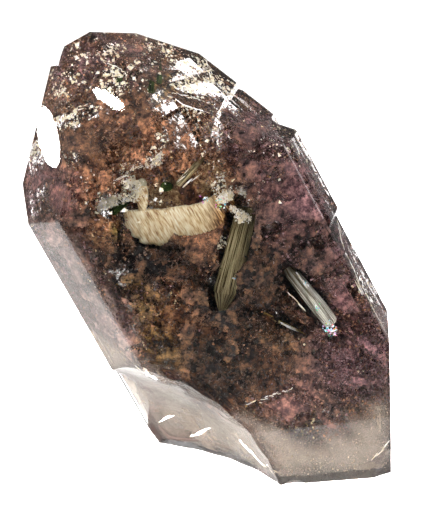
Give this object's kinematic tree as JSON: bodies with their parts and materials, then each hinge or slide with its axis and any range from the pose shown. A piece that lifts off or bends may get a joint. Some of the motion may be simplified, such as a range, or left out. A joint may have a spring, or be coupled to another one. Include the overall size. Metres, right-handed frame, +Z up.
{
  "type": "enhydro quartz crystal with tourmaline",
  "caption": "Six-sided clear quartz crystal leaning on its broken base, with tourmaline prisms and a flat water-filled cavity sealed inside it.",
  "frame": {"origin": "on the ground, under the middle of the crystal's outline", "axes": "+Z up from the broken base that it rests on, +X to the side away from the lean, +Y from the broad front face to the back"},
  "size_m": [0.0516, 0.0298, 0.0627],
  "materials": {
    "quartz": "clear with red-brown flakes, glassy faces, a milky foot and a conchoidal broken base",
    "water": "still water in a flat cavity with combed walls",
    "tourmaline": "olive green, glassy, ribbed along its length"
  },
  "bodies": {
    "root": {"quartz_front": "quartz", "quartz_back": "quartz", "enhydro_water": "water", "tourmaline_broad": "tourmaline", "tourmaline_bright": "tourmaline", "tourmaline_top_needle": "tourmaline", "tourmaline_dark_stub": "tourmaline", "tourmaline_left_stub": "tourmaline", "tourmaline_blade": "tourmaline", "tourmaline_top_stub": "tourmaline", "tourmaline_low_needle": "tourmaline"}
  },
  "joints": []
}
